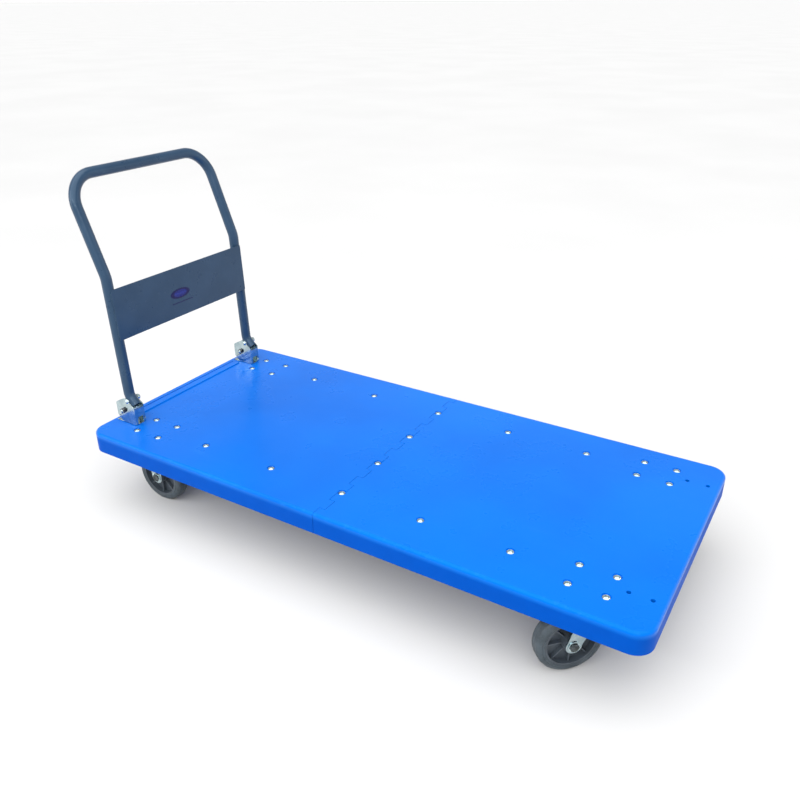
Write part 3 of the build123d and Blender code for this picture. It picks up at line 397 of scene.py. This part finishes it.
def weld_bead(name, path, radius, pitch=2.2, closed=False):
    """A rippled bead along a path of points in metres."""
    vertices = []
    lengths = [0.0]
    for before, after in zip(path, path[1:]):
        lengths.append(lengths[-1] + (after - before).length)
    total = lengths[-1]
    steps = max(8, int(total / (pitch * MM) * BEAD_STEPS_PER_RIPPLE))
    points = []
    for step in range(steps + (0 if closed else 1)):
        along = total * step / steps
        index = min(max(i for i, value in enumerate(lengths) if value <= along), len(path) - 2)
        share = (along - lengths[index]) / max(lengths[index + 1] - lengths[index], 1e-9)
        heading = (path[index + 1] - path[index]).normalized()
        points.append((along, path[index].lerp(path[index + 1], share), heading))
    for along, point, heading in points:
        side = heading.cross(Vector((0.31, 0.22, 0.93))).normalized()
        other = heading.cross(side)
        phase = along / (pitch * MM)
        wave = abs(math.sin(math.pi * phase))
        size = radius * (0.86 + 0.14 * wave + 0.05 * math.sin(2.3 * phase + 0.7))
        if not closed:
            end = min(along, total - along) / (radius * MM)
            size *= math.sqrt(max(0.02, 1 - max(0.0, 1 - end) ** 2))
        for turn in range(BEAD_SIDES):
            angle = math.tau * turn / BEAD_SIDES
            vertices.append(point + (side * math.cos(angle) + other * math.sin(angle)) * size * MM)
    count = len(points)
    faces = ring_faces(count, BEAD_SIDES, closed)
    if not closed:
        faces += [tuple(range(BEAD_SIDES)), tuple(range((count - 1) * BEAD_SIDES, count * BEAD_SIDES))]
    return mesh_from(name, vertices, faces, 60.0)


TYRE_HALF = (            # (radius, offset from the middle) in mm, from the bead out to the crown
    (57.9, 18.4), (58.6, 18.95), (61.2, 19.0), (61.7, 18.9), (62.1, 18.35), (62.6, 18.1), (63.4, 18.1),
    (63.9, 18.4), (64.3, 18.9), (64.9, 18.95), (66.5, 18.7), (68.2, 18.1), (69.9, 17.2), (71.4, 16.1),
    (72.7, 14.7), (73.7, 13.1), (74.4, 11.4), (74.75, 9.7), (74.85, 8.0), (74.9, 4.0), (74.9, 1.1),
    (75.0, 0.7),
)


def add_tyres():
    """Mould-on treads with a bead groove, a rounded shoulder and the fine parting line of the mould."""
    outline = list(TYRE_HALF) + [(radius, -offset) for radius, offset in reversed(TYRE_HALF)]
    for end in ("rear", "front"):
        for side in SIDES:
            joint = JOINTS[f"wheel_spin_{end}_{side}"]
            low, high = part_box(f"tread_{end}_{side}")
            mesh = lathed(f"tyre_{end}_{side}", outline, (low + high) / 2, joint["axis"], 144)
            add_piece(f"tyre_{end}_{side}", mesh, "tread_rubber", joint["child"], f"tread_{end}_{side}")


def corners_of(node, side):
    """Corners of the cross plate's end on one side: (back low, back high, front low, front high)."""
    low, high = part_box(node)
    reach = high.y if side > 0 else low.y
    ends = [vertex.co for vertex in NODES[node].data.vertices if abs(vertex.co.y - reach) < 0.05 * MM]
    middle = (low.z + high.z) / 2
    bottom = sorted((point for point in ends if point.z < middle), key=lambda point: point.x)
    top = sorted((point for point in ends if point.z >= middle), key=lambda point: point.x)
    return bottom[0].copy(), top[0].copy(), bottom[-1].copy(), top[-1].copy()


def add_welds():
    """Stitch welds behind the cross plate, rings round the pivot sleeves and fillets on the cross member."""
    for name, side in SIGNS:
        bottom, top, _, _ = corners_of("handle_plate", side)
        for edge, y in (("outer", 5.0), ("inner", -5.0)):
            leg = side * (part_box("handle_tube")[1].y - TUBE_RADIUS)
            for index, (start, stop) in enumerate(PLATE_STITCHES):
                path = [bottom.lerp(top, start), bottom.lerp(top, stop)]
                for point in path:
                    point.y = leg + side * y * MM
                    point.x -= 0.45 * MM
                mesh = weld_bead(f"plate_weld_{name}_{edge}_{index + 1}", path, 1.5)
                add_piece(f"plate_weld_{name}_{edge}_{index + 1}", mesh, "handle_paint", "handle")
    tube = NODES["handle_tube"].data
    surface = BVHTree.FromPolygons([vertex.co.copy() for vertex in tube.vertices],
                                   [tuple(face.vertices) for face in tube.polygons])
    pivot = Vector(JOINTS["handle_fold"]["pos_m"])
    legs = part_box("handle_tube")
    for name, side in SIGNS:
        leg = side * (legs[1].y - TUBE_RADIUS)
        for face, outward in (("outer", side), ("inner", -side)):
            path = []
            for step in range(SLEEVE_STEPS + 1):
                angle = math.tau * step / SLEEVE_STEPS
                start = Vector((pivot.x + SLEEVE_RADIUS * math.cos(angle), leg + outward * 30 * MM,
                                pivot.z + SLEEVE_RADIUS * math.sin(angle)))
                hit = surface.ray_cast(start, Vector((0, -outward, 0)), 0.06)[0]
                if hit is not None:
                    path.append(hit)
            mesh = weld_bead(f"sleeve_weld_{name}_{face}", path, 1.0, closed=True)
            add_piece(f"sleeve_weld_{name}_{face}", mesh, "handle_paint", "handle")
    low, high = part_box("cross_member")
    for index, x in enumerate((low.x, high.x)):
        for name, y in (("right", low.y), ("left", high.y)):
            path = [Vector((x, y, low.z + 1 * MM)), Vector((x, y, high.z - 1 * MM))]
            mesh = weld_bead(f"cross_weld_{name}_{index + 1}", path, 2.6, 2.8)
            add_piece(f"cross_weld_{name}_{index + 1}", mesh, "frame_paint", "deck")


def add_flange_teeth():
    """Toothed flange under the head and the nut of each wheel's axle."""
    for end in ("rear", "front"):
        fork = "fixed_fork" if end == "rear" else "swivel_fork"
        for side in SIDES:
            joint = JOINTS[f"wheel_spin_{end}_{side}"]
            centre, axis = Vector(joint["pos_m"]), Vector(joint["axis"]).normalized()
            cheeks = [(vertex.co - centre).dot(axis) for vertex in NODES[f"{fork}_{side}"].data.vertices
                      if (vertex.co - centre - axis * (vertex.co - centre).dot(axis)).length < HUB_REACH]
            for way, reach in ((1, max(cheeks)), (-1, -min(cheeks))):
                name = f"axle_flange_{end}_{side}_{'a' if way > 0 else 'b'}"
                mesh = toothed_ring(name, 6.3, 13.2, 0.02, 2.4, 30, centre + axis * way * reach, axis * way)
                add_piece(name, mesh, "zinc", joint["parent"])


def add_label_rule():
    """Thin printed line with rounded ends under the oval label."""
    _, _, bottom, top = corners_of("handle_plate", -1)
    up = (top - bottom).normalized()
    out = Vector((up.z, 0, -up.x))
    face = max(vertex.co.dot(out) for vertex in NODES["handle_plate"].data.vertices)
    low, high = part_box("handle_label")
    centre = (low + high) / 2 - up * RULE_DROP + Vector((0, RULE_SHIFT, 0))
    centre += out * (face - centre.dot(out))
    vertices, rim = [], []
    for side in (1, -1):
        for step in range(13):
            angle = math.pi * step / 12 - math.pi / 2
            rim.append((side * (RULE_HALF_LENGTH + RULE_RADIUS * math.cos(angle)),
                        side * RULE_RADIUS * math.sin(angle)))
    for lift, shrink in ((0.0, 1.0), (0.2, 1.0), (0.3, 0.93)):
        for across, along in rim:
            vertices.append(centre + Vector((0, across * MM, 0)) + up * along * shrink * MM + out * lift * MM)
    count = len(rim)
    faces = [tuple(range(count)), tuple(range(2 * count, 3 * count))]
    for layer in (0, 1):
        for at in range(count):
            after = (at + 1) % count
            here, above = layer * count, (layer + 1) * count
            faces.append((here + at, here + after, above + after, above + at))
    add_piece("label_rule", mesh_from("label_rule", vertices, faces), "label_film", "handle")


EDGE_WIDTHS = {          # mm, by the start of the node's name; the first match counts
    "bracket": 0.45, "swivel_fork": 0.6, "fixed_fork": 0.6, "swivel_plate": 0.6, "lock_lever": 0.5,
    "pivot_nuts": 0.3, "pivot_bolts": 0.35, "front_axle": 0.5, "rear_axle": 0.5, "caster_nuts": 0.3,
    "caster_bolts": 0.25, "rail_bolts": 0.25, "bracket_bolts": 0.25, "seam_bolts": 0.25,
    "rail_nuts": 0.3, "bracket_nuts": 0.3, "seam_nuts": 0.3, "wheel_core": 0.6, "rail": 0.6,
    "cross_member": 0.6, "handle_plate": 0.3, "deck_half": 0.5, "king_pin": 0.5, "lock_pin": 0.3,
    "pivot_bushes": 0.3,
}


def add_edge_softening():
    """Small rounded edges on the CAD pieces that are punched, folded, turned or moulded."""
    for name, node in NODES.items():
        width = next((value for start, value in EDGE_WIDTHS.items() if name.startswith(start)), None)
        if width is None:
            continue
        weld = node.modifiers.new("joined", "WELD")
        weld.merge_threshold = 0.000002
        flat = node.modifiers.new("flat", "DECIMATE")
        flat.decimate_type, flat.angle_limit = "DISSOLVE", math.radians(0.5)
        soft = node.modifiers.new("soft_edges", "BEVEL")
        soft.width, soft.segments = width * MM, 2
        soft.limit_method, soft.angle_limit = "ANGLE", math.radians(35)
        soft.use_clamp_overlap = True
        level = node.modifiers.new("level_faces", "WEIGHTED_NORMAL")
        level.mode, level.weight, level.thresh = "FACE_AREA", 100, 0.01


# ---------------------------------------------------------------- stage, light and camera
def add_stage():
    """A flat pale floor that runs out past the horizon, in rings that widen outwards."""
    rings, steps = (0.0, 3.0, 12.0, 60.0, 400.0, 3000.0), 96
    turns = [math.tau * step / steps for step in range(steps)]
    vertices = [Vector((radius * math.cos(turn), radius * math.sin(turn), 0))
                for radius in rings[1:] for turn in turns] + [Vector((0, 0, 0))]
    faces = [(step, (step + 1) % steps, len(vertices) - 1) for step in range(steps)]
    for ring in range(len(rings) - 2):
        for step in range(steps):
            here, there = ring * steps + step, ring * steps + (step + 1) % steps
            faces.append((here, here + steps, there + steps, there))
    floor = bpy.data.objects.new("stage_floor", mesh_from("stage_floor", vertices, faces))
    bpy.context.scene.collection.objects.link(floor)
    floor.data.materials.append(stage_floor())


def add_lamp(name, kind, place, aim):
    light = bpy.data.lights.new(name, kind)
    lamp = bpy.data.objects.new(name, light)
    bpy.context.scene.collection.objects.link(lamp)
    lamp.location = place
    lamp.rotation_euler = (Vector(aim) - Vector(place)).to_track_quat("-Z", "Y").to_euler()
    return light


def add_sun(name, towards, angle, energy):
    """A soft sun seen in the given direction, as wide as an angle in degrees."""
    light = add_lamp(name, "SUN", towards, (0, 0, 0))
    light.angle, light.energy = math.radians(angle), energy


def add_panel(name, place, aim, size, energy):
    light = add_lamp(name, "AREA", place, aim)
    light.shape, light.energy = "RECTANGLE", energy
    light.size, light.size_y = size


def add_lights():
    world = bpy.data.worlds.new("studio")
    world.use_nodes = True
    nodes, links = world.node_tree.nodes, world.node_tree.links
    place = nodes.new("ShaderNodeTexCoord")
    parts = nodes.new("ShaderNodeSeparateXYZ")
    fade = nodes.new("ShaderNodeMapRange")
    fade.interpolation_type = "SMOOTHSTEP"
    for socket, value in zip(list(fade.inputs)[1:5], (0.16, 0.62, 1.0, 0.5)):
        socket.default_value = value
    links.new(place.outputs["Generated"], parts.inputs["Vector"])
    links.new(parts.outputs["Z"], fade.inputs["Value"])
    links.new(fade.outputs["Result"], nodes["Background"].inputs["Strength"])
    nodes["Background"].inputs["Color"].default_value = (1.0, 1.0, 1.0, 1.0)
    bpy.context.scene.world = world
    add_sun("key", (0.06, -0.30, 0.95), 90, 3.5)
    add_panel("strip_left", (-2.6, -2.2, 1.5), (-0.6, 0, 0.6), (0.4, 2.4), 22)
    add_panel("strip_front", (0.2, -2.9, 2.1), (0, -0.3, 0.2), (4.4, 0.22), 34)
    add_panel("strip_right", (2.8, 1.6, 1.6), (0.4, 0, 0.3), (0.5, 2.2), 14)


def add_camera():
    """Stands in front of the deck's right side and looks along it, 27 degrees down."""
    data = bpy.data.cameras.new("camera")
    data.lens, data.sensor_width = 35.66, 36.0
    data.clip_end = 5000.0
    camera = bpy.data.objects.new("camera", data)
    bpy.context.scene.collection.objects.link(camera)
    forward = Vector((-0.465609, 0.761813, -0.450388)).normalized()
    right = Vector((0.854302, 0.519762, -0.004018))
    right = (right - right.dot(forward) * forward).normalized()
    turn = Matrix((right, right.cross(forward), -forward)).transposed()
    camera.matrix_world = Matrix.Translation((0.9500, -1.4826, 1.2363)) @ turn.to_4x4()
    bpy.context.scene.camera = camera


dress_nodes()
add_tyres()
add_welds()
add_flange_teeth()
add_label_rule()
add_edge_softening()
add_stage()
add_lights()
add_camera()
bpy.context.scene.view_settings.view_transform = "Standard"
